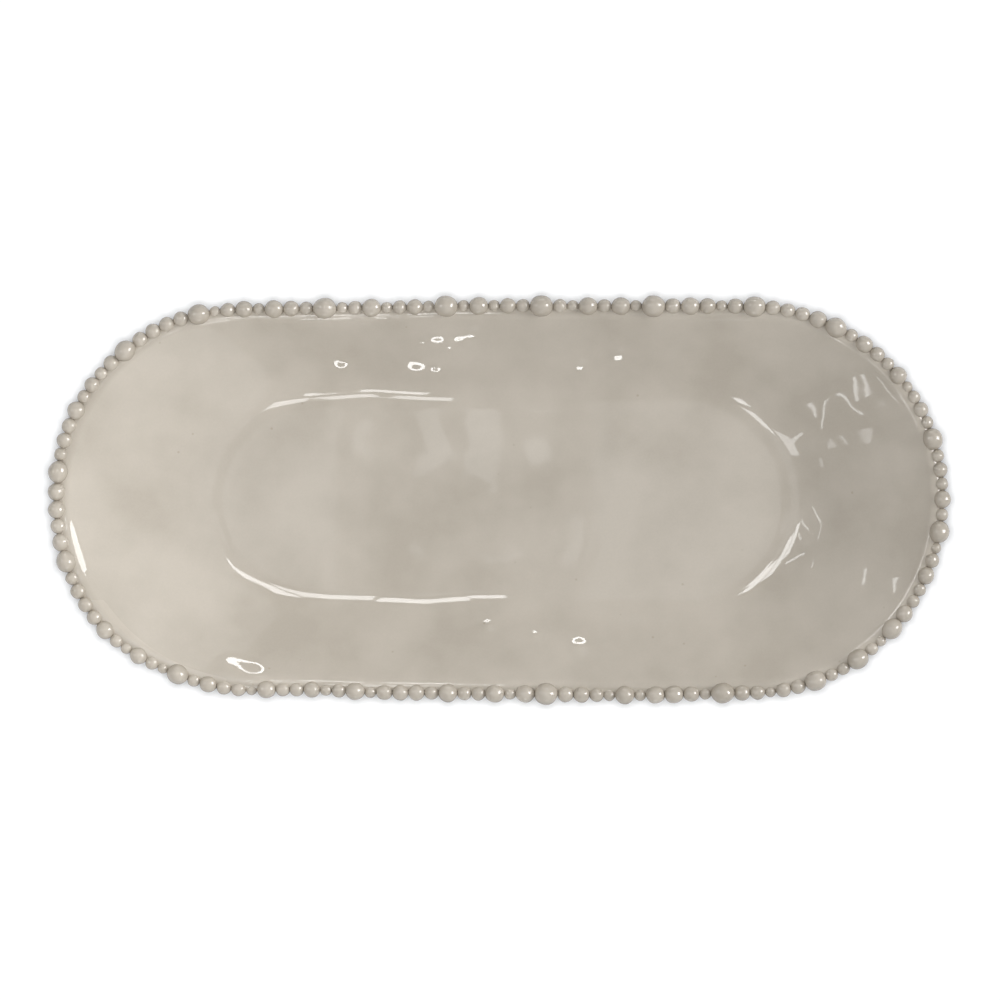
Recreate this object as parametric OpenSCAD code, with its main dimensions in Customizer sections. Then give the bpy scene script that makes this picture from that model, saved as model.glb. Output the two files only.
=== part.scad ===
// Oblong asparagus plate in glazed stoneware. A deep oblong dish stands on a foot ring, and a row of
// hand-rolled clay beads in five mixed sizes sits all the way round its lip.
// X runs along the dish and Y across it, and Z is up. The dish rests on Z = 0.

/* [Dish] */
// Length over the beads at the two ends
dish_len = 452; // [360:1:620]
// Width over the beads on the two long sides
dish_w = 205; // [160:1:280]
// Depth of the well, from the top of the lip down to the floor
well_depth = 26; // [14:0.5:45]
// Thickness of the clay, measured straight down
dish_t = 6; // [4:0.5:9]
// Width of the sloping wall along the two long sides, seen from above
side_wall_w = 37; // [24:0.5:56]
// Width of the sloping wall at the two ends, seen from above
end_wall_w = 64; // [40:0.5:100]
// Width over which the floor turns up into the wall, on the long sides
fillet_w = 11; // [4:0.5:22]
// Largest distance that the hand-made rim strays from a true oval
stray = 2.5; // [0:0.1:5]

/* [Lip] */
// Width of the rounded edge between the wall and the bead seat
roll_w = 1.6; // [0.6:0.1:3]
// Drop of the rounded edge to the top of the wall
roll_drop = 0.7; // [0.2:0.1:1.5]
// Width of the bead seat inside the line that the beads' centres stand over
seat_in = 5.8; // [4:0.1:7]
// Width of the bead seat outside the line that the beads' centres stand over
seat_out = 1.4; // [0.8:0.1:2.5]
// Slope of the bead seat, which falls outwards, in degrees
seat_slope = 30; // [10:1:45]
// Height of the outer edge of the lip, below the seat
lip_edge_h = 2.1; // [1:0.1:4]
// Distance that the lip's outer edge leans in towards its foot
lip_edge_lean = 0.8; // [0:0.1:1.5]
// Distance in from the top of the wall at which the lip leaves the outside of the wall
lip_root = 2.6; // [1:0.1:6]

/* [Beads] */
// Width that one tiny bead takes up along the rim
tiny_d = 5.9; // [4:0.1:7]
// Width that one small bead takes up along the rim
small_d = 7; // [5:0.1:8]
// Width that one medium bead takes up along the rim
medium_d = 8; // [6:0.1:9.5]
// Width that one large bead takes up along the rim
large_d = 9.3; // [7:0.1:10.5]
// Width that one giant bead takes up along the rim
giant_d = 11.4; // [9:0.1:12.5]

/* [Foot ring] */
// Height of the foot ring
foot_h = 6; // [3:0.5:14]
// Width of the foot ring where it joins the dish
foot_w = 8; // [5:0.5:12]
// Width of the unglazed face that the foot ring rests on
foot_face_w = 4; // [2:0.5:8]
// Bevel on both edges of the resting face
foot_bevel = 0.8; // [0.2:0.1:1.5]
// Distance from the edge of the dish's underside in to the foot ring
foot_inset = 3; // [0:0.5:10]

/* [Hidden] */
SIZES = ["tiny", "small", "medium", "large", "giant"];
SIDES = ["back", "right", "front", "left"];

// The order in which the beads were laid, clockwise seen from above, from the left end of the back
// side. Each letter is the first letter of a size.
bead_order = str(
    "tlmsgtslts", "mtgtltmsgs", "tlsltgmlmt", "mgmmmlgslm", "sltsmsgsms",
    "lsgtmlsslg", "tsgssgmmtm", "mgtmlltlts", "mmgltlssls", "mmmtlstmss",
    "ltmmlsgtsl", "tslmmmsglm", "llgsmmlsms", "mgmmmmgtml"
);
bead_widths = [tiny_d, small_d, medium_d, large_d, giant_d];
// Beads are pressed together, so each is this much wider than the place it takes up
press_share = 0.04;
// Height of a bead's centre over its seat, as a share of the bead's radius
sit_share = 0.55;
// Clearance that keeps each bead a piece of its own, at its seat and between two beads
bead_gap = 0.05;
bead_facets = 48;

// How far the rim strays outwards at equal steps round it, from the left end of the back side, in
// shares of the largest distance
stray_shares = [
    -0.5, -0.25, 0.15, 0.1, 0.1, 0.05, 0.3, 0.1, -0.15, -0.15,
    -0.3, 0.15, -0.1, -0.35, -1, -0.9, 0.65, 0.5, 0.9, 0.55
];

// The line that every bead's centre stands over, as straights and round ends
rim_half = (dish_len - dish_w) / 2;
rim_r = dish_w / 2 - giant_d / 2 * (1 + press_share);
turn_len = PI * dish_w / 2;
rim_len = 4 * rim_half + 2 * turn_len;

// Heights
floor_z = foot_h + dish_t;
lip_z = floor_z + well_depth;
seat_z = lip_z - seat_in * tan(seat_slope);
lip_edge_z = seat_z - seat_out * tan(seat_slope);

// The flat floor, and the underside of the same outline below it
floor_r = rim_r - seat_in - roll_w - side_wall_w;
floor_half = rim_half + side_wall_w - end_wall_w;

// The foot ring's section, measured out from its own line of centres
foot_out = floor_r - foot_inset;
foot_mid = foot_out - foot_w / 2;

// Where a step round the rim stands: its place along the back or front side, or its turn round an end
function on_back(s) = s < 2 * rim_half;
function on_right(s) = !on_back(s) && s < 2 * rim_half + turn_len;
function on_front(s) = !on_back(s) && !on_right(s) && s < 4 * rim_half + turn_len;
function side_of(s) = on_back(s) ? "back" : on_right(s) ? "right" : on_front(s) ? "front" : "left";
function turn_of(s) = on_right(s)
    ? 90 - (s - 2 * rim_half) / turn_len * 180
    : 270 - (s - 4 * rim_half - turn_len) / turn_len * 180;
// A point at step s on an oval with round ends of radius r and a half straight of half
function oval(s, half, r) =
    on_back(s) ? [(s / rim_half - 1) * half, r] :
    on_front(s) ? [(1 - (s - 2 * rim_half - turn_len) / rim_half) * half, -r] :
    [(on_right(s) ? half : -half) + r * cos(turn_of(s)), r * sin(turn_of(s))];
function outwards(s) =
    on_back(s) ? [0, 1] : on_front(s) ? [0, -1] : [cos(turn_of(s)), sin(turn_of(s))];

// The rim's stray from the oval, smoothed between its steps
function stray_at(s) =
    let (
        steps = len(stray_shares),
        place = s / rim_len * steps,
        step = floor(place) % steps,
        from = stray_shares[step],
        to = stray_shares[(step + 1) % steps],
        blend = (1 - cos((place - floor(place)) * 180)) / 2
    )
    stray * (from + (to - from) * blend);

// Beads are laid until the ring is full, and then their places are trimmed so that it closes
function size_of(i) = search(bead_order[i % len(bead_order)], "tsmlg")[0];
function laid(i, total = 0) = total >= rim_len ? i : laid(i + 1, total + bead_widths[size_of(i)]);
function total_of(count) = let (widths = [for (i = [0:count - 1]) bead_widths[size_of(i)]])
    widths * [for (w = widths) 1];
full = laid(0);
bead_count = total_of(full) - rim_len > bead_widths[size_of(full - 1)] / 2 ? full - 1 : full;
trim = rim_len / total_of(bead_count);
starts = [for (i = 0, s = 0; i < bead_count; s = s + bead_widths[size_of(i)] * trim, i = i + 1) s];

// One point of the bead line between each two beads, and the outward direction of each bead
notches = [for (s = starts) oval(s, rim_half, rim_r) + stray_at(s) * outwards(s)];
function notch(i) = notches[(i + bead_count) % bead_count];
function unit(v) = v / norm(v);
function left_of(v) = [-v.y, v.x];
facings = [for (i = [0:bead_count - 1]) left_of(unit(notch(i + 1) - notch(i)))];
// At a notch, the step out that moves the seats of both neighbours out by one unit
mitres = [
    for (i = [0:bead_count - 1])
        let (here = facings[i], before = facings[(i + bead_count - 1) % bead_count])
        (here + before) / (1 + here * before)
];
function off_notch(i, out, z) = let (p = notches[i] + out * mitres[i]) [p.x, p.y, z];

// Height of the wall over the floor at a share u of its width: a soft turn up, then a straight slope
fillet_share = fillet_w / side_wall_w;
wall_slope = (well_depth - roll_drop) / (1 - fillet_share / 2);
function wall_rise(u) = u < fillet_share
    ? wall_slope * u * u / fillet_share / 2
    : wall_slope * (u - fillet_share / 2);
// A point on the wall, at a share u of the way from the floor's edge to the lip
function wall_point(i, u, z) =
    let (
        low = oval(starts[i], floor_half, floor_r),
        top = notches[i] - (seat_in + roll_w) * mitres[i],
        p = low + (top - low) * u
    )
    [p.x, p.y, z + wall_rise(u)];

// The dish as rings of points, one for each notch, from the floor over the lip to the underside
turn_up_shares = [0, 0.25, 0.5, 0.75, 1];
wall_us = concat(turn_up_shares * fillet_share, [(1 + fillet_share) / 2]);
lip_root_u = 1 - lip_root / side_wall_w;
dish_rings = concat(
    [for (u = wall_us) [for (i = [0:bead_count - 1]) wall_point(i, u, floor_z)]],
    [
        for (k = [1, 0.5, 0])
            [for (i = [0:bead_count - 1]) off_notch(i, -seat_in - roll_w * k, lip_z - roll_drop * k * k)]
    ],
    [
        [for (i = [0:bead_count - 1]) off_notch(i, seat_out, lip_edge_z)],
        [for (i = [0:bead_count - 1]) off_notch(i, seat_out - lip_edge_lean, lip_edge_z - lip_edge_h)],
        [for (i = [0:bead_count - 1]) wall_point(i, lip_root_u, foot_h)]
    ],
    [for (k = [len(wall_us) - 1:-1:0]) [for (i = [0:bead_count - 1]) wall_point(i, wall_us[k], foot_h)]]
);

// A closed skin over a stack of rings, with a flat fan over the first and the last one
module skin(rings, first_centre, last_centre) {
    n = len(rings[0]);
    last = (len(rings) - 1) * n;
    first_tip = len(rings) * n;
    polyhedron(
        points = concat([for (ring = rings) for (p = ring) p], [first_centre, last_centre]),
        faces = concat(
            [for (i = [0:n - 1]) [first_tip, i, (i + 1) % n]],
            [
                for (k = [0:len(rings) - 2]) for (i = [0:n - 1])
                    for (face = [
                        [k * n + i, (k + 1) * n + i, (k + 1) * n + (i + 1) % n],
                        [k * n + i, (k + 1) * n + (i + 1) % n, k * n + (i + 1) % n]
                    ]) face
            ],
            [for (i = [0:n - 1]) [first_tip + 1, last + (i + 1) % n, last + i]]
        )
    );
}

// The glazed dish, in one piece from the floor to the lip
module dish() {
    color([0.76, 0.74, 0.69]) skin(dish_rings, [0, 0, floor_z], [0, 0, foot_h]);
}

// The ring of clay under the dish, with a bare face to stand on
module foot_ring() {
    section = [
        [foot_mid - foot_w / 2, foot_h],
        [foot_mid - foot_face_w / 2 - foot_bevel, foot_bevel],
        [foot_mid - foot_face_w / 2, 0],
        [foot_mid + foot_face_w / 2, 0],
        [foot_mid + foot_face_w / 2 + foot_bevel, foot_bevel],
        [foot_mid + foot_w / 2, foot_h]
    ];
    color([0.80, 0.74, 0.64])
        for (turn = [0, 180]) rotate(turn) {
            translate([floor_half, 0, 0]) rotate(-90) rotate_extrude(angle = 180, $fn = 96) polygon(section);
            translate([-floor_half, 0, 0]) rotate([90, 0, 90]) linear_extrude(2 * floor_half) polygon(section);
        }
}

// One bead: its radius, the way its seat faces and its centre
function bead_r(i) = norm(notch(i + 1) - notch(i)) / 2 * (1 + press_share);
function seat_facing(i) = [facings[i].x * sin(seat_slope), facings[i].y * sin(seat_slope), cos(seat_slope)];
function bead_centre(i) =
    let (mid = (notch(i) + notch(i + 1)) / 2)
    [mid.x, mid.y, seat_z + sit_share * bead_r(i) / cos(seat_slope)];

// What is cut off a ball of radius r beyond a distance from its centre, in one direction
module beyond(direction, distance, r) {
    rotate([0, acos(direction.z), atan2(direction.y, direction.x)])
        translate([-2 * r, -2 * r, distance]) cube(4 * r);
}

// A ball of clay, flat where it sits on the lip and where it meets the ball on each side
module bead(i) {
    r = bead_r(i);
    centre = bead_centre(i);
    translate(centre) difference() {
        sphere(r, $fn = bead_facets);
        beyond(-seat_facing(i), sit_share * r - bead_gap, r);
        for (j = [(i + 1) % bead_count, (i + bead_count - 1) % bead_count]) {
            apart = bead_centre(j) - centre;
            meet = (apart * apart + r * r - bead_r(j) * bead_r(j)) / 2 / norm(apart);
            beyond(unit(apart), meet - bead_gap / 2, r);
        }
    }
}

// All the beads of one size along one side or round one end
module beads(side, size) {
    color([0.78, 0.76, 0.71])
        for (i = [0:bead_count - 1]) {
            middle = starts[i] + bead_widths[size_of(i)] * trim / 2;
            if (side_of(middle) == side && SIZES[size_of(i)] == size) bead(i);
        }
}

dish();
foot_ring();
for (side = SIDES) for (size = SIZES)
    beads(side, size);
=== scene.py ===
import math
import random

import bmesh
import bpy
import numpy as np
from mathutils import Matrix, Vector


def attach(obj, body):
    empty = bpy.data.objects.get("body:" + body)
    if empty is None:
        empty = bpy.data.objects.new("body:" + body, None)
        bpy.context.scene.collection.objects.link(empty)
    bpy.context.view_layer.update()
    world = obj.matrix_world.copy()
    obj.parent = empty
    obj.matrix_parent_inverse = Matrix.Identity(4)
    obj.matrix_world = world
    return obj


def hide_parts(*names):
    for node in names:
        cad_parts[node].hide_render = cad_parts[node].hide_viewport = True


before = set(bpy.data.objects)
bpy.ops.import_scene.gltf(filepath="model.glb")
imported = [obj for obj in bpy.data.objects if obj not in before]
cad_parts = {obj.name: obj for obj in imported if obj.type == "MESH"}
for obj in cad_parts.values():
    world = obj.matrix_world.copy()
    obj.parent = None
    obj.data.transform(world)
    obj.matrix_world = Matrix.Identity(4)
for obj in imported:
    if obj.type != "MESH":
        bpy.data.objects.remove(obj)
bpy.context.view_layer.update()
print("frame loaded:", len(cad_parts), "nodes")

# the plan of the plate, in metres, as in the CAD model
plan = {
    "floorHalf": 0.0965,      # half of the straight, at the edge of the flat floor
    "floorRadius": 0.05217,
    "rimHalf": 0.1235,        # half of the straight, at the line the beads stand over
    "rimRadius": 0.09657,
    "wallTop": 0.0074,        # from the bead line in to the top of the wall
    "floorZ": 0.012,
    "clay": 0.006,            # thickness, straight down
    "depth": 0.026,
    "lipDrop": 0.0007,
    "turnFrom": -0.20,        # where the floor starts to turn up and where the wall is straight,
    "turnTo": 0.34,           # as shares of the wall's width
}


def only(obj):
    # obj alone selected and active
    bpy.ops.object.select_all(action="DESELECT")
    obj.select_set(True)
    bpy.context.view_layer.objects.active = obj


def pick(obj, test):
    # in edit mode, selects the points that pass the test and nothing else
    bm = bmesh.from_edit_mesh(obj.data)
    for face in bm.faces:
        face.select_set(False)
    for edge in bm.edges:
        edge.select_set(False)
    for vert in bm.verts:
        vert.select_set(test(vert))
    bm.select_flush(True)
    bmesh.update_edit_mesh(obj.data)


def pickEdges(obj, test):
    # in edit mode, selects the edges that pass the test
    bpy.ops.mesh.select_all(action="DESELECT")
    bm = bmesh.from_edit_mesh(obj.data)
    for edge in bm.edges:
        if test(edge):
            edge.select_set(True)
    bmesh.update_edit_mesh(obj.data)


def applyAll(obj):
    # all the modifiers made part of the mesh
    only(obj)
    for modifier in list(obj.modifiers):
        bpy.ops.object.modifier_apply(modifier=modifier.name)


def subdivideSmooth(obj, levels):
    smooth = obj.modifiers.new("smooth", "SUBSURF")
    smooth.levels = levels
    smooth.render_levels = levels


def waves(obj, name, size, strength, group="", depth=1):
    # hand-made unevenness: soft clouds pushed through the clay
    clouds = bpy.data.textures.new(name, "CLOUDS")
    clouds.noise_scale = size
    clouds.noise_depth = depth
    clouds.noise_basis = "ORIGINAL_PERLIN"
    push = obj.modifiers.new(name, "DISPLACE")
    push.texture = clouds
    push.texture_coords = "LOCAL"
    push.direction = "Z"
    push.mid_level = 0.5
    push.strength = strength
    if group:
        push.vertex_group = group


def tidyNormals(obj, weld=1e-5):
    # doubles merged and faces turned outwards
    only(obj)
    bpy.ops.object.mode_set(mode="EDIT")
    bpy.ops.mesh.select_all(action="SELECT")
    bpy.ops.mesh.remove_doubles(threshold=weld)
    bpy.ops.mesh.normals_make_consistent(inside=False)
    bpy.ops.object.mode_set(mode="OBJECT")


def ovalPoint(x, y, half):
    # the nearest point of the oval's centre line, the way outwards and the distance from it
    centre = Vector((max(-half, min(half, x)), 0))
    reach = Vector((x, y)) - centre
    return centre, reach.normalized() if reach.length > 1e-9 else Vector((0, 1)), reach.length


def smoothStep(share):
    share = max(0.0, min(1.0, share))
    return share * share * (3 - 2 * share)


def wallShare(x, y):
    # 0 at the edge of the flat floor, 1 at the top of the wall
    topRadius = plan["rimRadius"] - plan["wallTop"]
    low, high = -2.0, 2.0
    for _ in range(40):
        share = (low + high) / 2
        half = plan["floorHalf"] + (plan["rimHalf"] - plan["floorHalf"]) * share
        radius = plan["floorRadius"] + (topRadius - plan["floorRadius"]) * share
        inside = math.hypot(max(abs(x) - half, 0), y) < radius
        low, high = (low, share) if inside else (share, high)
    return share


def wallRise(share):
    # a soft turn up from the floor, then a straight slope
    width = plan["turnTo"] - plan["turnFrom"]
    steep = (plan["depth"] - plan["lipDrop"]) / (1 - plan["turnTo"] + width / 2)
    if share > plan["turnTo"]:
        return steep * (share - plan["turnTo"] + width / 2)
    turned = max(0.0, (share - plan["turnFrom"]) / width)
    return steep * width * (turned ** 3 - turned ** 4 / 2)


def stepRound(x, y):
    # how far round the bead line a point is, clockwise from the left end of the back side
    half, turn = plan["rimHalf"], math.pi * plan["rimRadius"]
    if x > half:
        return 2 * half + (math.pi / 2 - math.atan2(y, x - half)) / math.pi * turn
    if x < -half:
        angle = math.atan2(y, x + half) % (2 * math.pi)
        return 4 * half + turn + (1.5 * math.pi - angle) / math.pi * turn
    return x + half if y > 0 else 2 * half + turn + half - x


def ballOf(points):
    # the sphere through a ball's corners: its centre and radius
    terms = np.hstack([2 * points, np.ones((len(points), 1))])
    fit = np.linalg.lstsq(terms, (points ** 2).sum(1), rcond=None)[0]
    return Vector(fit[:3]), math.sqrt(fit[3] + (fit[:3] ** 2).sum())


def ballsIn(node):
    # a merged copy of the node's mesh, split into its loose balls
    bm = bmesh.new()
    bm.from_mesh(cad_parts[node].data)
    bmesh.ops.remove_doubles(bm, verts=bm.verts, dist=1e-6)
    balls, seen = [], set()
    for start in bm.verts:
        if start in seen:
            continue
        island, queue = [], [start]
        seen.add(start)
        while queue:
            vert = queue.pop()
            island.append(vert.co[:])
            for edge in vert.link_edges:
                other = edge.other_vert(vert)
                if other not in seen:
                    seen.add(other)
                    queue.append(other)
        balls.append(ballOf(np.array(island)))
    bm.free()
    return balls


# the row of beads as the CAD model has it, in order round the rim
beadNodes = sorted(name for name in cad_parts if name.startswith("beads_"))
row = []
for name in beadNodes:
    for centre, radius in ballsIn(name):
        row.append({"node": name, "centre": centre, "radius": radius,
                    "step": stepRound(centre.x, centre.y)})
row.sort(key=lambda bead: bead["step"])
for bead in row:
    _, outwards, reach = ovalPoint(bead["centre"].x, bead["centre"].y, plan["rimHalf"])
    bead["out"] = Vector((outwards.x, outwards.y, 0))
    bead["stray"] = reach - plan["rimRadius"]
print("beads found:", len(row))

lineLength = 4 * plan["rimHalf"] + 2 * math.pi * plan["rimRadius"]
steps = np.array([bead["step"] for bead in row])
strays = np.array([bead["stray"] for bead in row])


def strayAt(step):
    # how far the bead line strays outwards there
    return float(np.interp(step % lineLength, steps, strays, period=lineLength))


# the dish and its foot are worked in rings, with points on each half-round end and along each straight
rings = {"arcPoints": 40, "straightCuts": 31}


def startOval(half, radius, z):
    # a circle pulled apart into two half-round ends, its straights cut into even lengths
    turned = math.pi / (2 * rings["arcPoints"])
    bpy.ops.object.select_all(action="DESELECT")
    bpy.ops.mesh.primitive_circle_add(vertices=2 * rings["arcPoints"], radius=radius, fill_type="NOTHING",
                                      location=(0, 0, z), rotation=(0, 0, turned))
    oval = bpy.context.object
    bpy.ops.object.transform_apply(location=True, rotation=True, scale=True)
    bpy.ops.object.mode_set(mode="EDIT")
    for side in (1, -1):
        pick(oval, lambda vert: vert.co.x * side > 0 and abs(vert.co.x) < radius * 1.01)
        bpy.ops.transform.translate(value=(side * half, 0, 0))
    pickEdges(oval, lambda edge: edge.calc_length() > half)
    bpy.ops.mesh.subdivide(number_cuts=rings["straightCuts"])
    bpy.ops.mesh.select_all(action="SELECT")
    return oval


def shapeRing(obj, ring, old, new):
    # moves the selected ring from one oval to the next: ends grown about their centres, straights shifted
    (halfOld, radiusOld, zOld), (halfNew, radiusNew, zNew) = old, new
    verts = bmesh.from_edit_mesh(obj.data).verts
    verts.ensure_lookup_table()
    ends = {side: set(i for i in ring if verts[i].co.x * side > halfOld) for side in (1, -1)}
    straights = {side: set(i for i in ring if abs(verts[i].co.x) <= halfOld and verts[i].co.y * side > 0)
                 for side in (1, -1)}
    outward = (radiusNew - radiusOld) * math.cos(math.pi / (2 * rings["arcPoints"]))
    bpy.ops.transform.translate(value=(0, 0, zNew - zOld))
    for side in (1, -1):
        pick(obj, lambda vert: vert.index in ends[side])
        bpy.ops.transform.resize(value=(radiusNew / radiusOld, radiusNew / radiusOld, 1),
                                 center_override=(side * halfOld, 0, zNew))
        bpy.ops.transform.translate(value=(side * (halfNew - halfOld), 0, 0))
        pick(obj, lambda vert: vert.index in straights[side])
        bpy.ops.transform.translate(value=(0, side * outward, 0))
        bpy.ops.transform.resize(value=(halfNew / halfOld, 1, 1), center_override=(0, 0, zNew))


def stackRings(name, ovals):
    # extrudes one oval into the next, and leaves the piece in edit mode
    piece = startOval(*ovals[0])
    piece.name = name
    for old, new in zip(ovals, ovals[1:]):
        bpy.ops.mesh.extrude_region_move()
        bm = bmesh.from_edit_mesh(piece.data)
        bm.verts.index_update()
        ring = set(vert.index for vert in bm.verts if vert.select)
        shapeRing(piece, ring, old, new)
        pick(piece, lambda vert: vert.index in ring)
    return piece


def followBeads(obj):
    # the rim wanders as the beads do and the walls follow it; where the floor turns up wanders too
    # the group "walls" holds how much of the clay's unevenness each point takes
    walls = obj.vertex_groups.new(name="walls")
    bends = np.array(dish["wander"])
    still = dish["floorWaves"]
    for vert in obj.data.vertices:
        share = wallShare(vert.co.x, vert.co.y)
        middle, outwards, _ = ovalPoint(vert.co.x, vert.co.y, plan["rimHalf"])
        step = stepRound(middle.x + outwards.x * plan["rimRadius"], outwards.y * plan["rimRadius"])
        shift = strayAt(step) * smoothStep(share)
        if vert.co.z > plan["floorZ"] - dish["wanderBelow"]:
            near = smoothStep((share + 0.8) / 0.5) * smoothStep((1.0 - share) / 0.95)
            bend = float(np.interp(step, bends[:, 0], bends[:, 1], period=lineLength)) / 1000
            shift += bend * near
        vert.co.x += outwards.x * shift
        vert.co.y += outwards.y * shift
        waviness = smoothStep((share + 0.1) / 0.5) * smoothStep((1.1 - share) / 0.15)
        walls.add([vert.index], still + (1 - still) * waviness, "REPLACE")


dish = {
    # rings up the wall, 0 at the edge of the flat floor and 1 at the top of the wall
    "wallShares": [-0.30, -0.22, -0.14, -0.06, 0.02, 0.10, 0.18, 0.27, 0.36, 0.50, 0.65, 0.80, 0.92],
    # the lip, from the top of the wall over the bead seat to its outer edge: out from the bead line, height
    "lip": [(-0.0073, 0.0374), (-0.0066, 0.0378), (-0.0056, 0.0383), (-0.0042, 0.0387),
            (-0.0024, 0.0386), (-0.0008, 0.0377), (0.0008, 0.0365), (0.0014, 0.0342), (0.0006, 0.0318)],
    "underShares": [0.9, 0.6, 0.3, 0.0, -0.3],
    "bigWaves": (0.055, 0.0012),         # size and height of the clay's slow unevenness
    "smallWaves": (0.02, 0.00022),
    "floorWaves": 0.15,                  # the share of them that the flat floor and the lip take
    "wanderBelow": 0.0005,               # the wander reaches this far below the floor's top
    # how far out the turn of the floor wanders, in mm, by the way round the rim in metres
    "wander": [(0.0, 0), (0.016, -0.8), (0.032, 0.5), (0.046, 1.8), (0.055, 2.3), (0.062, 2.3),
               (0.070, 1.7), (0.085, 1), (0.10, 0.5), (0.15, 0), (0.60, 0), (0.672, -1.0),
               (0.695, -0.5), (0.7125, 1.2), (0.7215, 0.5), (0.7315, 0), (0.759, -0.6),
               (0.769, -1.6), (0.781, -2.8), (0.793, -2.8), (0.81, -2), (0.84, 0)],
    # marks of the fingers that pressed the clay over its mould: from, to, radius, rise, all in mm
    "marks": [
        (-67, 78, -67, 78, 22, -0.55), (-42, 70.5, -42, 70.5, 7, 0.44), (-31.6, 67.8, -31.6, 67.8, 4, 0.42),
        (-32, 83, -16, 84, 6, 0.64), (-26, 78.5, -26, 78.5, 4, 0.44), (-17, 78, -17, 78, 4, 0.44),
        (-68, 93, -68, 91, 5, 0.36), (-52, 91, -52, 91, 4.5, 0.44), (-80, 71, -79, 70, 4.5, 0.42),
        (-39.6, 80, -39.6, 80, 3.5, 0.36), (59.5, 74, 59.5, 74, 5, 0.60), (39, 68, 39, 68, 4, 0.55),
        (39.6, -73.5, 39.6, -73.5, 7.5, 0.86), (16.7, -68, 16.7, -68, 4, 0.46),
        (-6.7, -62.5, -6.7, -62.5, 4.5, 0.76), (-136, -84, -124, -89, 11, 1.45),
        (-217.5, -15.5, -211.5, -34, 6.5, 0.72), (-206.5, -37.5, -203, -36.5, 3.5, 0.44),
    ],
}


def wallOval(share, z):
    # the oval at that share of the wall's width
    half = plan["floorHalf"] + (plan["rimHalf"] - plan["floorHalf"]) * share
    topRadius = plan["rimRadius"] - plan["wallTop"]
    return half, plan["floorRadius"] + (topRadius - plan["floorRadius"]) * share, z


def pressMarks(body):
    # each mark is a spot or a short line of points, pulled up with the clay round it
    only(body)
    bpy.ops.object.mode_set(mode="EDIT")
    bm = bmesh.from_edit_mesh(body.data)
    bm.verts.ensure_lookup_table()
    places = np.array([vert.co[:] for vert in bm.verts])
    upper = np.array([vert.normal.z > 0.3 for vert in bm.verts])
    for x0, y0, x1, y1, radius, rise in dish["marks"]:
        start, line = np.array([x0, y0]) / 1000, np.array([x1 - x0, y1 - y0]) / 1000
        along = np.clip(((places[:, :2] - start) @ line) / max(line @ line, 1e-12), 0, 1)
        away = np.linalg.norm(places[:, :2] - start - along[:, None] * line, axis=1)
        away[~upper] = 1
        bpy.ops.mesh.select_all(action="DESELECT")
        for i in np.flatnonzero(away <= max(0.0008, away.min())):
            bm.verts[i].select_set(True)
        bpy.ops.transform.translate(value=(0, 0, rise / 1000), use_proportional_edit=True,
                                    proportional_edit_falloff="SMOOTH", proportional_size=radius / 1000)
    bpy.ops.object.mode_set(mode="OBJECT")


def makeDish():
    floorZ, underZ = plan["floorZ"], plan["floorZ"] - plan["clay"]
    ovals = [wallOval(share, floorZ + wallRise(share)) for share in dish["wallShares"]]
    ovals += [(plan["rimHalf"], plan["rimRadius"] + out, z) for out, z in dish["lip"]]
    ovals += [wallOval(share, underZ + wallRise(share)) for share in dish["underShares"]]
    body = stackRings("dishBody", ovals)
    for z in (floorZ, underZ):
        # the floor and the underside are closed with an even grid
        pickEdges(body, lambda edge: edge.is_boundary and abs(edge.verts[0].co.z - z) < 1e-6)
        bpy.ops.mesh.fill_grid(span=rings["arcPoints"] // 2, offset=rings["arcPoints"] // 4)
    bpy.ops.object.mode_set(mode="OBJECT")
    tidyNormals(body)
    followBeads(body)
    subdivideSmooth(body, 2)
    waves(body, "slowWaves", *dish["bigWaves"], group="walls")
    waves(body, "quickWaves", *dish["smallWaves"], group="walls")
    applyAll(body)
    pressMarks(body)
    bpy.ops.object.shade_smooth()
    return body


dishBody = makeDish()
print("dish:", len(dishBody.data.polygons), "faces")


# a coil of clay with a bare face to stand on
foot = {
    "middle": 0.04517,                   # its line, out from the centre line of the floor
    # half of its section: out from its own line, height
    "side": [(0.0046, 0.0065), (0.0038, 0.0052), (0.0033, 0.0038), (0.0030, 0.0022),
             (0.0028, 0.0011), (0.0025, 0.00035), (0.0020, 0.0)],
}


def makeFoot():
    outer = [(plan["floorHalf"], foot["middle"] + out, z) for out, z in foot["side"]]
    inner = [(plan["floorHalf"], foot["middle"] - out, z) for out, z in reversed(foot["side"])]
    coil = stackRings("footCoil", outer + inner + outer[:1])
    bpy.ops.object.mode_set(mode="OBJECT")
    tidyNormals(coil)
    subdivideSmooth(coil, 1)
    applyAll(coil)
    bpy.ops.object.shade_smooth()
    return coil


footCoil = makeFoot()
print("foot:", len(footCoil.data.polygons), "faces")


# balls of clay, rolled by hand and pressed on side by side
ball = {
    "cuts": 3,
    "lumps": 0.012,          # unevenness of a hand-rolled ball, as a share of its radius
    "kinds": 4,              # differently rolled balls to copy from
    # width across the rim by size, as a share of the diameter, and how it and the height vary
    "squash": {"giant": 0.90, "large": 0.95, "medium": 0.98, "small": 1.0, "tiny": 1.0},
    "acrossSpread": (0.97, 1.03),
    "heightSpread": (0.97, 1.02),
    "seatSlope": math.radians(30),
    "sit": 0.55,             # how high a ball's centre is over its seat, in radii
    "sunk": 0.0004,          # how far it is pressed into the seat
    "pressed": 0.00002,      # how far past the middle of a join each of two neighbours reaches
}
random.seed(7)


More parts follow.
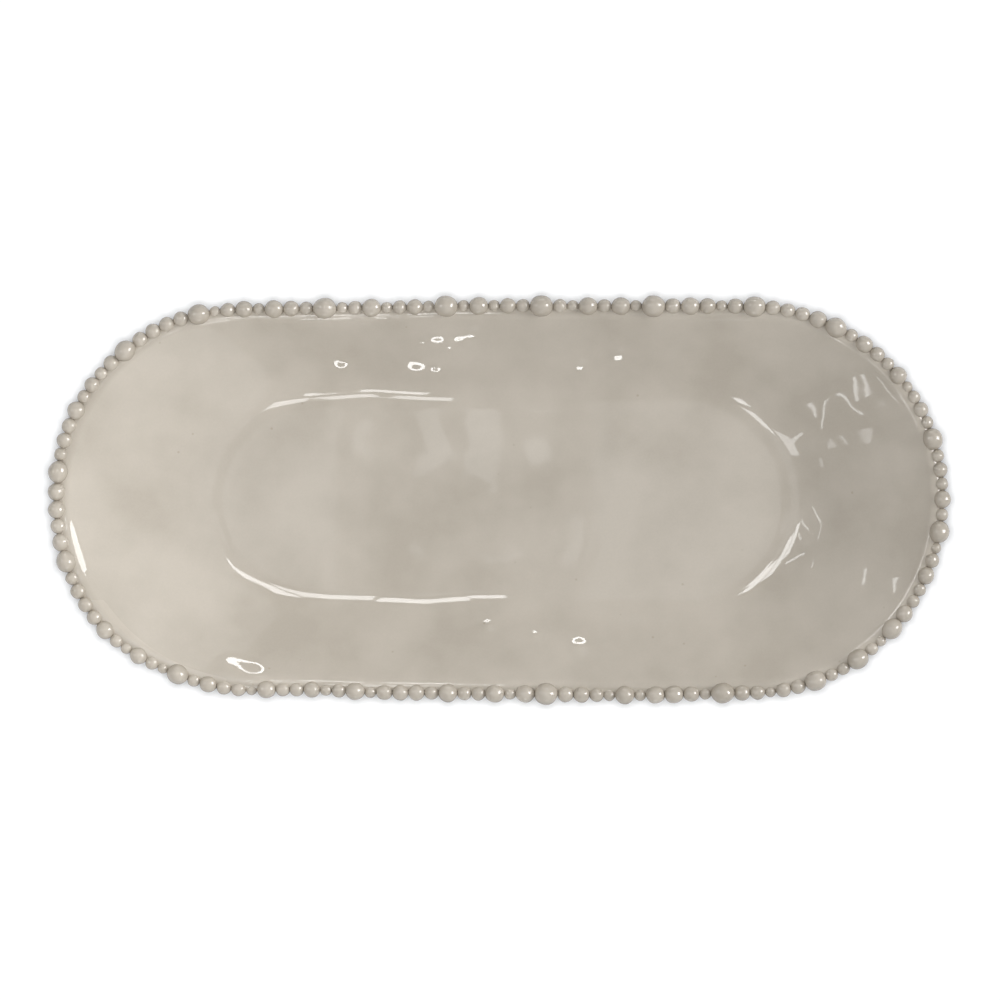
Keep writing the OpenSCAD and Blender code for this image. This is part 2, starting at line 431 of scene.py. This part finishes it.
def rollBall(kind):
    # a slightly lumpy ball of radius 1
    bpy.ops.object.select_all(action="DESELECT")
    bpy.ops.mesh.primitive_cube_add(size=1, location=(0, 0, 0))
    rolled = bpy.context.object
    rolled.name = f"rolledBall{kind}"
    bpy.ops.object.mode_set(mode="EDIT")
    bpy.ops.mesh.select_all(action="SELECT")
    bpy.ops.mesh.subdivide(number_cuts=ball["cuts"])
    bpy.ops.transform.tosphere(value=1.0)
    bpy.ops.transform.vertex_random(offset=ball["lumps"], seed=11 + kind)
    bpy.ops.object.mode_set(mode="OBJECT")
    subdivideSmooth(rolled, 1)
    applyAll(rolled)
    reach = sum(vert.co.length for vert in rolled.data.vertices) / len(rolled.data.vertices)
    bpy.ops.transform.resize(value=(1 / reach,) * 3)
    bpy.ops.object.transform_apply(location=True, rotation=True, scale=True)
    return rolled


def placeBall(rolled, bead, before, after):
    # a copy turned at random, squashed across the rim, and cut flat at its seat and its two neighbours
    copy = rolled.copy()
    copy.data = rolled.data.copy()
    bpy.context.scene.collection.objects.link(copy)
    only(copy)
    size = bead["node"].split("_")[-1]
    copy.rotation_euler = [random.uniform(0, 2 * math.pi) for _ in range(3)]
    bpy.ops.object.transform_apply(location=False, rotation=True, scale=False)
    across = ball["squash"][size] * random.uniform(*ball["acrossSpread"])
    copy.scale = (bead["radius"] * across, bead["radius"],
                  bead["radius"] * random.uniform(*ball["heightSpread"]))
    bpy.ops.object.transform_apply(location=False, rotation=False, scale=True)
    copy.rotation_euler = (0, 0, math.atan2(bead["out"].y, bead["out"].x))
    copy.location = bead["centre"]
    bpy.ops.object.transform_apply(location=True, rotation=True, scale=False)
    bpy.ops.object.mode_set(mode="EDIT")
    tilt = ball["seatSlope"]
    seat = -(bead["out"] * math.sin(tilt) + Vector((0, 0, math.cos(tilt))))
    cuts = [(seat, ball["sit"] * bead["radius"] + ball["sunk"])]
    for other in (before, after):
        apart = other["centre"] - bead["centre"]
        meet = (apart.length_squared + bead["radius"] ** 2 - other["radius"] ** 2) / 2 / apart.length
        cuts.append((apart.normalized(), meet + ball["pressed"]))
    for facing, reach in cuts:
        bpy.ops.mesh.select_all(action="SELECT")
        bpy.ops.mesh.bisect(plane_co=bead["centre"] + facing * reach, plane_no=facing,
                            use_fill=True, clear_outer=True, threshold=1e-7)
    bpy.ops.object.mode_set(mode="OBJECT")
    # how high up the ball each point is, and how far out across the rim, in radii
    for name, way in (("lift", Vector((0, 0, 1))), ("outward", bead["out"])):
        values = [(vert.co - bead["centre"]).dot(way) / bead["radius"] for vert in copy.data.vertices]
        copy.data.attributes.new(name, "FLOAT", "POINT").data.foreach_set("value", values)
    return copy


def makeBeads():
    # the balls of each CAD node joined into one string
    kinds = [rollBall(kind) for kind in range(ball["kinds"])]
    groups = {name: [] for name in beadNodes}
    for i, bead in enumerate(row):
        kind = kinds[random.randrange(ball["kinds"])]
        after = row[(i + 1) % len(row)]
        groups[bead["node"]].append(placeBall(kind, bead, row[i - 1], after))
    for kind in kinds:
        bpy.data.objects.remove(kind)
    strings = {}
    for node, copies in groups.items():
        bpy.ops.object.select_all(action="DESELECT")
        for copy in copies:
            copy.select_set(True)
        bpy.context.view_layer.objects.active = copies[0]
        bpy.ops.object.join()
        side, size = node.split("_")[1:]
        string = bpy.context.object
        string.name = "balls" + side.capitalize() + size.capitalize()
        bpy.ops.object.shade_smooth_by_angle(angle=math.radians(50))
        strings[node] = string
    return strings


beadStrings = makeBeads()
print("beads:", sum(len(string.data.polygons) for string in beadStrings.values()), "faces")


def newGroup(name, inputs, outputs):
    # a shader node group with its sockets
    group = bpy.data.node_groups.new(name, "ShaderNodeTree")
    for label, kind, value in inputs:
        socket = group.interface.new_socket(label, in_out="INPUT", socket_type=kind)
        if value is not None:
            socket.default_value = value
    for label, kind in outputs:
        group.interface.new_socket(label, in_out="OUTPUT", socket_type=kind)
    return group, group.nodes.new("NodeGroupInput"), group.nodes.new("NodeGroupOutput")


def addNode(tree, kind, settings=None, **values):
    # a node with its settings, and with its sockets set or linked by name, or by place as i0, i1 and so on
    node = tree.nodes.new("ShaderNode" + kind)
    for key, value in (settings or {}).items():
        setattr(node, key, value)
    for key, value in values.items():
        socket = node.inputs[int(key[1:]) if key[0] == "i" and key[1:].isdigit() else key]
        if isinstance(value, bpy.types.NodeSocket):
            tree.links.new(value, socket)
        else:
            socket.default_value = value
    return node


def makeGlazeTone():
    # slow pools of thicker and thinner glaze, a fine grain, and a few iron specks
    group, given, out = newGroup(
        "glazeTone",
        [("Place", "NodeSocketVector", None), ("Tone", "NodeSocketColor", (0.5, 0.5, 0.5, 1)),
         ("Thin", "NodeSocketColor", (0.6, 0.6, 0.6, 1)),
         ("Pooled", "NodeSocketColor", (0.4, 0.4, 0.4, 1)),
         ("Cloudiness", "NodeSocketFloat", 1.0), ("Specks", "NodeSocketFloat", 1.0),
         ("Polish", "NodeSocketFloat", 0.1)],
        [("Color", "NodeSocketColor"), ("Roughness", "NodeSocketFloat"), ("Height", "NodeSocketFloat")])
    place, tone = given.outputs["Place"], given.outputs["Tone"]
    cloud = addNode(group, "TexNoise", Vector=place, Scale=26.0, Detail=3.0, Roughness=0.5)
    drift = addNode(group, "MapRange", i0=cloud.outputs["Fac"], i1=0.35, i2=0.65, i3=-0.5, i4=0.5)
    amount = addNode(group, "Math", {"operation": "MULTIPLY"},
                     i0=drift.outputs["Result"], i1=given.outputs["Cloudiness"])
    toThin = addNode(group, "Math", {"operation": "MAXIMUM"}, i0=amount.outputs[0], i1=0.0)
    down = addNode(group, "Math", {"operation": "MULTIPLY"}, i0=amount.outputs[0], i1=-1.0)
    toPool = addNode(group, "Math", {"operation": "MAXIMUM"}, i0=down.outputs[0], i1=0.0)
    first = addNode(group, "MixRGB", i0=toThin.outputs[0], i1=tone, i2=given.outputs["Thin"])
    second = addNode(group, "MixRGB", i0=toPool.outputs[0], i1=first.outputs[0],
                     i2=given.outputs["Pooled"])
    grain = addNode(group, "TexNoise", Vector=place, Scale=900.0, Detail=2.0, Roughness=0.6)
    grainTone = addNode(group, "MapRange", i0=grain.outputs["Fac"], i1=0.3, i2=0.7, i3=0.985, i4=1.015)
    grained = addNode(group, "MixRGB", {"blend_type": "MULTIPLY"}, i0=1.0, i1=second.outputs[0],
                      i2=grainTone.outputs["Result"])
    # specks: the cores of a few cells
    cells = addNode(group, "TexVoronoi", Vector=place, Scale=130.0)
    core = addNode(group, "MapRange", i0=cells.outputs["Distance"], i1=0.05, i2=0.11, i3=1.0, i4=0.0)
    chance = addNode(group, "SeparateColor", i0=cells.outputs["Color"])
    chosen = addNode(group, "Math", {"operation": "GREATER_THAN"}, i0=chance.outputs[0], i1=0.86)
    speck = addNode(group, "Math", {"operation": "MULTIPLY"},
                    i0=core.outputs["Result"], i1=chosen.outputs[0])
    speckled = addNode(group, "Math", {"operation": "MULTIPLY"}, i0=speck.outputs[0],
                       i1=given.outputs["Specks"])
    spotted = addNode(group, "MixRGB", {"blend_type": "MULTIPLY"}, i0=speckled.outputs[0],
                      i1=grained.outputs[0], i2=(0.72, 0.68, 0.62, 1))
    smear = addNode(group, "TexNoise", Vector=place, Scale=45.0, Detail=2.0)
    rough = addNode(group, "MapRange", i0=smear.outputs["Fac"], i1=0.3, i2=0.7, i3=0.8, i4=1.3)
    polish = addNode(group, "Math", {"operation": "MULTIPLY"}, i0=rough.outputs["Result"],
                     i1=given.outputs["Polish"])
    # the way it ran: long ripples, broken up by shorter ones
    ripple = addNode(group, "TexNoise", Vector=place, Scale=38.0, Detail=2.0, Roughness=0.45,
                     Distortion=0.4)
    peel = addNode(group, "TexNoise", Vector=place, Scale=150.0, Detail=1.0)
    fine = addNode(group, "Math", {"operation": "MULTIPLY"}, i0=peel.outputs["Fac"], i1=0.08)
    relief = addNode(group, "Math", {"operation": "ADD"}, i0=ripple.outputs["Fac"], i1=fine.outputs[0])
    group.links.new(spotted.outputs[0], out.inputs["Color"])
    group.links.new(polish.outputs[0], out.inputs["Roughness"])
    group.links.new(relief.outputs[0], out.inputs["Height"])
    return group


def makeRimDistance():
    # metres out from the line that the beads stand over
    group, given, out = newGroup("rimDistance", [("Place", "NodeSocketVector", None)],
                                 [("Distance", "NodeSocketFloat")])
    parts = addNode(group, "SeparateXYZ", i0=given.outputs["Place"])
    side = addNode(group, "Math", {"operation": "ABSOLUTE"}, i0=parts.outputs["X"])
    past = addNode(group, "Math", {"operation": "SUBTRACT"}, i0=side.outputs[0], i1=plan["rimHalf"])
    beyond = addNode(group, "Math", {"operation": "MAXIMUM"}, i0=past.outputs[0], i1=0.0)
    flat = addNode(group, "CombineXYZ", i0=beyond.outputs[0], i1=parts.outputs["Y"], i2=0.0)
    length = addNode(group, "VectorMath", {"operation": "LENGTH"}, i0=flat.outputs[0])
    distance = addNode(group, "Math", {"operation": "SUBTRACT"}, i0=length.outputs["Value"],
                       i1=plan["rimRadius"])
    group.links.new(distance.outputs[0], out.inputs["Distance"])
    return group


glazeTone = makeGlazeTone()
rimDistance = makeRimDistance()

dishLook = {
    "tone": (0.465, 0.421, 0.358, 1),
    "thin": (0.526, 0.479, 0.412, 1),
    "pooled": (0.389, 0.348, 0.288, 1),
    "cloudiness": 1.0,
    "specks": 0.5,
    "polish": 0.025,
    "relief": 0.00004,
}
# the beads' dark colour is painted shade, for the dark limb low on their outer side
beadLook = dict(dishLook, tone=(0.460, 0.415, 0.351, 1), specks=0.3, relief=0.00003, polish=0.10,
                paintedLimbShade=(0.13, 0.11, 0.082, 1))
# bare clay; how high the glaze was wiped off, and over what height it fades
clayLook = {"bare": (0.60, 0.50, 0.38, 1), "line": 0.0011, "fade": 0.0002, "matt": 0.85}


def startMaterial(name, look):
    # a material with the shared glaze tone, polish and relief
    material = bpy.data.materials.new(name)
    material.use_nodes = True
    tree = material.node_tree
    shader = tree.nodes["Principled BSDF"]
    shader.inputs["IOR"].default_value = 1.52
    place = tree.nodes.new("ShaderNodeTexCoord").outputs["Object"]
    tone = tree.nodes.new("ShaderNodeGroup")
    tone.node_tree = glazeTone
    tree.links.new(place, tone.inputs["Place"])
    for key in ("tone", "thin", "pooled", "cloudiness", "specks", "polish"):
        tone.inputs[key.capitalize()].default_value = look[key]
    tree.links.new(tone.outputs["Roughness"], shader.inputs["Roughness"])
    bump = addNode(tree, "Bump", Height=tone.outputs["Height"], Distance=look["relief"], Strength=1.0)
    tree.links.new(bump.outputs["Normal"], shader.inputs["Normal"])
    return material, tree, shader, place, tone


def makeDishGlaze():
    # darker in the channel that the beads stand in: partly the glaze pooled there, partly painted shade in
    # the crease under the beads
    material, tree, shader, place, tone = startMaterial("dishGlaze", dishLook)
    rim = tree.nodes.new("ShaderNodeGroup")
    rim.node_tree = rimDistance
    tree.links.new(place, rim.inputs["Place"])
    # pooled glaze and painted shade, darker towards the beads' seat
    channelPoolAndShade = addNode(tree, "MapRange", i0=rim.outputs["Distance"], i1=-0.0052, i2=-0.0030,
                      i3=0.0, i4=0.55)
    pooled = addNode(tree, "MixRGB", i0=channelPoolAndShade.outputs["Result"], i1=tone.outputs["Color"],
                     i2=dishLook["pooled"])
    tree.links.new(pooled.outputs[0], shader.inputs["Base Color"])
    # duller along the lip at the front left, where it meets the beads without an edge
    parts = addNode(tree, "SeparateXYZ", i0=place)
    lip = addNode(tree, "MapRange", i0=rim.outputs["Distance"], i1=-0.009, i2=-0.007, i3=0.0, i4=1.0)
    left = addNode(tree, "MapRange", i0=parts.outputs["X"], i1=-0.125, i2=-0.140, i3=0.0, i4=1.0)
    near = addNode(tree, "MapRange", i0=parts.outputs["Y"], i1=-0.042, i2=-0.052, i3=0.0, i4=1.0)
    corner = addNode(tree, "Math", {"operation": "MULTIPLY"}, i0=left.outputs["Result"],
                     i1=near.outputs["Result"])
    share = addNode(tree, "Math", {"operation": "MULTIPLY"},
                    i0=lip.outputs["Result"], i1=corner.outputs[0])
    dull = addNode(tree, "MapRange", i0=share.outputs[0], i1=0.0, i2=1.0,
                   i3=tone.outputs["Roughness"], i4=0.35)
    tree.links.new(dull.outputs["Result"], shader.inputs["Roughness"])
    return material


def makeBeadGlaze():
    # painted shade: darker low on each bead, most of all on its outer side, for the dark limb and the shade
    # round its foot
    material, tree, shader, place, tone = startMaterial("beadGlaze", beadLook)
    lift = addNode(tree, "Attribute", {"attribute_name": "lift"}).outputs["Fac"]
    outward = addNode(tree, "Attribute", {"attribute_name": "outward"}).outputs["Fac"]
    # where the painted shade goes: low on the ball, most of all on its outer side
    low = addNode(tree, "MapRange", {"interpolation_type": "SMOOTHSTEP"},
                  i0=lift, i1=0.08, i2=0.60, i3=1.0, i4=0.0)
    outer = addNode(tree, "MapRange", {"interpolation_type": "SMOOTHSTEP"},
                    i0=outward, i1=-0.1, i2=0.6, i3=0.05, i4=1.0)
    paintedLimbShade = addNode(tree, "Math", {"operation": "MULTIPLY"}, i0=low.outputs[0], i1=outer.outputs[0])
    # the painted shade mixed into the glaze tone
    pooled = addNode(tree, "MixRGB", i0=paintedLimbShade.outputs[0], i1=tone.outputs["Color"],
                     i2=beadLook["paintedLimbShade"])
    tree.links.new(pooled.outputs[0], shader.inputs["Base Color"])
    return material


def makeFootGlaze():
    # glaze down the sides, wiped off the face that stands in the kiln
    material, tree, shader, place, tone = startMaterial("footGlaze", dishLook)
    height = addNode(tree, "SeparateXYZ", i0=place)
    wobble = addNode(tree, "TexNoise", Vector=place, Scale=120.0, Detail=2.0)
    shift = addNode(tree, "MapRange", i0=wobble.outputs["Fac"], i1=0.3, i2=0.7, i3=-0.0005, i4=0.0005)
    line = addNode(tree, "Math", {"operation": "ADD"}, i0=height.outputs["Z"], i1=shift.outputs["Result"])
    bare = addNode(tree, "MapRange", i0=line.outputs[0], i1=clayLook["line"],
                   i2=clayLook["line"] + clayLook["fade"], i3=1.0, i4=0.0)
    sand = addNode(tree, "TexNoise", Vector=place, Scale=1500.0, Detail=3.0)
    sandTone = addNode(tree, "MapRange", i0=sand.outputs["Fac"], i1=0.3, i2=0.7, i3=0.82, i4=1.1)
    clay = addNode(tree, "MixRGB", {"blend_type": "MULTIPLY"}, i0=1.0, i1=clayLook["bare"],
                   i2=sandTone.outputs["Result"])
    mixed = addNode(tree, "MixRGB", i0=bare.outputs["Result"], i1=tone.outputs["Color"],
                    i2=clay.outputs[0])
    matt = addNode(tree, "MapRange", i0=bare.outputs["Result"], i1=0.0, i2=1.0,
                   i3=dishLook["polish"], i4=clayLook["matt"])
    tree.links.new(mixed.outputs[0], shader.inputs["Base Color"])
    tree.links.new(matt.outputs["Result"], shader.inputs["Roughness"])
    return material


def finish(piece, material, slot, *nodes):
    # its glaze, and the CAD nodes that it stands for
    piece.data.materials.clear()
    piece.data.materials.append(material)
    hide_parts(*nodes)
    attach(piece, "root")


finish(dishBody, makeDishGlaze(), "dish_glaze", "dish")
finish(footCoil, makeFootGlaze(), "bare_clay", "foot_ring")
beadGlaze = makeBeadGlaze()
for node, string in beadStrings.items():
    finish(string, beadGlaze, "bead_glaze", node)
print("glazed")


# a white table, a soft world and lamps
studio = {
    "horizon": 0.11,         # soft light from all round, brighter from above
    "zenith": 0.43,
    "table": (0.83, 0.84, 0.855, 1),
    "tableGlow": 0.02,
    # each has a place, a width and depth, a radiance and a turn in degrees; those off to the side
    # aim at the plate, and the ones overhead face straight down
    "lamps": {
        "key": ((3.50, 0.75, 1.85), (1.6, 1.6), 9.6, 0),
        # bright lines where the floor turns up into the front and back walls, and along the lip
        "frontLeft": ((-0.25, -0.26, 1.2), (0.18, 0.13), 4.5, 20),
        "frontFar": ((-0.125, -0.64, 1.2), (0.07, 0.20), 8.0, 0),
        "front": ((-0.078, -0.31, 1.2), (0.072, 0.18), 6.5, 0),
        "backLeft": ((-0.200, 0.15, 1.2), (0.06, 0.14), 8.0, 0),
        "back": ((-0.130, 0.21, 1.2), (0.070, 0.20), 8.0, 0),
        "backMid": ((-0.057, 0.27, 1.2), (0.060, 0.22), 9.0, 0),
        "backRight": ((-0.011, 0.19, 1.2), (0.030, 0.13), 9.0, 0),
        # the two bent lines at the right end of the floor
        "rightBack": ((-0.42, -0.40, 1.2), (0.40, 0.025), 4.5, 41),
        "rightFront": ((-0.40, 0.335, 1.2), (0.27, 0.022), 6.0, -13),
        # streaks, curls and a pale patch on the wall at the right end
        "streakA": ((-0.66, -0.83, 1.2), (0.20, 0.012), 6.0, -74),
        "streakB": ((-0.725, -0.75, 1.2), (0.30, 0.010), 6.0, -82),
        "streakC": ((-0.80, -0.70, 1.2), (0.03, 0.02), 4.0, -40),
        "streakD": ((-0.796, -0.45, 1.2), (0.10, 0.010), 3.5, -82),
        "curlA": ((-0.5685, 0.1065, 1.2), (0.28, 0.014), 5.0, -28),
        "curlB": ((-0.70, 0.246, 1.2), (0.14, 0.014), 5.0, 80),
        "curlC": ((-0.361, 0.1355, 1.2), (0.25, 0.012), 5.0, -27),
        "curlD": ((-0.3055, 0.1765, 1.2), (0.13, 0.012), 5.0, -32),
        "curlE": ((-0.734, 0.54, 1.2), (0.12, 0.012), 5.5, 90),
        "paleRight": ((-0.72, -0.28, 1.2), (0.05, 0.07), 2.2, 0),
        # low lamps that glint in the marks high on the walls
        "lowBack": ((0.0, 1.464, 0.325), (0.9, 0.07), 12.0, 0),
        "lowFront": ((0.0, -1.464, 0.325), (0.9, 0.07), 12.0, 0),
        # faint panes of a window on the floor
        "paneA": ((-0.0675, 0.060, 2.0), (0.030, 0.062), 1.2, 12),
        "paneB": ((-0.020, 0.052, 2.0), (0.028, 0.080), 1.2, -8),
        "paneC": ((0.038, 0.046, 2.0), (0.024, 0.035), 1.2, 20),
        "paneD": ((-0.135, 0.064, 2.0), (0.02, 0.03), 1.0, 0),
        "paneE": ((0.077, -0.040, 2.0), (0.012, 0.040), 1.0, -5),
        "paneF": ((-0.085, -0.042, 2.0), (0.014, 0.016), 1.0, 15),
        "paneG": ((0.0045, -0.056, 2.0), (0.020, 0.009), 1.2, 25),
    },
    # wide sheets that only show in the glaze, over both halves of the plate and off to its right
    "sheets": {
        "overLeftHalf": ((-0.37, 0.0, 2.6), (0.36, 1.24), 0.6, 0),
        "overRightHalf": ((0.22, 0.0, 2.6), (0.22, 1.24), 0.6, 0),
        "offRight": ((2.23, 0.0, 2.6), (3.80, 11.2), 0.6, 0),
    },
    # soft boxes that show as small dots in the beads alone
    "dots": {
        "dotRight": ((1.90, 0.45, 1.6), (1.1, 0.9), 11.0, 0),
        "dotLeft": ((-1.80, 0.30, 1.7), (0.7, 0.7), 6.0, 0),
    },
    # these light the clay without showing in the glaze
    "fills": {
        "overLeft": ((-0.26, -0.08, 0.36), (0.28, 0.28), 1.75, 0),
        "overRight": ((0.14, -0.01, 0.22), (0.12, 0.12), 0.75, 0),
        "lowLeft": ((-0.16, -0.02, 0.28), (0.18, 0.18), 0.9, 0),
        "lowRight": ((0.26, 0.0, 0.22), (0.14, 0.14), 0.6, 0),
        "highRight": ((0.40, -0.28, 1.5), (0.60, 0.60), 1.3, 0),
    },
    "tableLamp": ((0, 0, 2.03), 0.34, 0.98),      # place, width, brightness it gives the table
}


def addLamp(name, place, size, radiance, turn=0):
    # a rectangle of light, by how bright it looks
    lamp = bpy.data.lights.new(name, "AREA")
    lamp.shape = "RECTANGLE"
    lamp.size, lamp.size_y = size
    lamp.energy = radiance * math.pi * size[0] * size[1]
    holder = bpy.data.objects.new(name, lamp)
    holder.location = place
    holder.rotation_euler = (0, 0, math.radians(turn))
    if math.hypot(place[0], place[1]) > place[2]:
        holder.rotation_euler = (-Vector(place)).to_track_quat("-Z", "Y").to_euler()
    holder.visible_camera = False
    bpy.context.scene.collection.objects.link(holder)
    return holder


def linkTo(holder, targets, state):
    # the lamps leave the table out, so that the shadow stays short and even; the table lamp lights it alone
    shared = bpy.data.collections.new(holder.name + "Lit")
    for target in targets:
        shared.objects.link(target)
    holder.light_linking.receiver_collection = shared
    for entry in shared.collection_objects:
        entry.light_linking.link_state = state


def seenRays(tree):
    # 1 for what the camera, a reflection or a clear material sees, 0 for light on the object
    path = tree.nodes.new("ShaderNodeLightPath")
    seen = addNode(tree, "Math", {"operation": "MAXIMUM"}, i0=path.outputs["Is Camera Ray"],
                   i1=path.outputs["Is Glossy Ray"])
    seenToo = addNode(tree, "Math", {"operation": "MAXIMUM"}, i0=seen.outputs[0],
                      i1=path.outputs["Is Transmission Ray"])
    return seenToo.outputs[0]


def makeTable():
    # white paper under the plate
    bpy.ops.object.select_all(action="DESELECT")
    bpy.ops.mesh.primitive_plane_add(size=12, location=(0, 0, 0))
    table = bpy.context.object
    table.name = "studioTable"
    paper = bpy.data.materials.new("tablePaper")
    paper.use_nodes = True
    tree = paper.node_tree
    shader = tree.nodes["Principled BSDF"]
    shader.inputs["Base Color"].default_value = studio["table"]
    shader.inputs["Roughness"].default_value = 1.0
    shader.inputs["Specular IOR Level"].default_value = 0.0
    shader.inputs["Emission Color"].default_value = (1, 1, 1, 1)
    glow = addNode(tree, "Math", {"operation": "MULTIPLY"}, i0=seenRays(tree), i1=studio["tableGlow"])
    tree.links.new(glow.outputs[0], shader.inputs["Emission Strength"])
    table.data.materials.append(paper)
    return table


def makeWorld():
    # plain white to look at, soft light on the object
    world = bpy.data.worlds.new("softWorld")
    bpy.context.scene.world = world
    world.use_nodes = True
    tree = world.node_tree
    back = tree.nodes["Background"]
    back.inputs["Color"].default_value = (1, 1, 1, 1)
    way = tree.nodes.new("ShaderNodeTexCoord").outputs["Generated"]
    up = addNode(tree, "SeparateXYZ", i0=way)
    soft = addNode(tree, "MapRange", i0=up.outputs["Z"], i1=0.0, i2=1.0, i3=studio["horizon"],
                   i4=studio["zenith"])
    strength = addNode(tree, "MapRange", i0=seenRays(tree), i1=0.0, i2=1.0,
                       i3=soft.outputs["Result"], i4=1.0)
    tree.links.new(strength.outputs["Result"], back.inputs["Strength"])


def makeCamera():
    # straight down from 2 m over the rim, so that 498.3 mm fill the frame there
    height, width, film = 2.0, 0.4983, 36
    camera = bpy.data.cameras.new("overhead")
    holder = bpy.data.objects.new("overhead", camera)
    holder.location = (-0.00025, 0.00025, height + plan["floorZ"] + plan["depth"])
    camera.sensor_width = film
    camera.lens = film * height / width
    bpy.context.scene.collection.objects.link(holder)
    bpy.context.scene.camera = holder


table = makeTable()
makeWorld()
makeCamera()
for kind in ("lamps", "sheets", "dots", "fills"):
    for name, (place, size, radiance, turn) in studio[kind].items():
        lamp = addLamp(name, place, size, radiance, turn)
        if kind == "dots":
            linkTo(lamp, beadStrings.values(), "INCLUDE")
        else:
            linkTo(lamp, [table], "EXCLUDE")
        lamp.visible_glossy = kind != "fills"
        lamp.visible_diffuse = kind not in ("sheets", "dots")
place, width, brightness = studio["tableLamp"]
radiance = brightness * math.pi * place[2] ** 2 / width ** 2
tableLamp = addLamp("tableLamp", place, (width, width), radiance)
tableLamp.visible_glossy = False
linkTo(tableLamp, [table], "INCLUDE")
bpy.context.scene.view_settings.view_transform = "Standard"
print("studio ready")
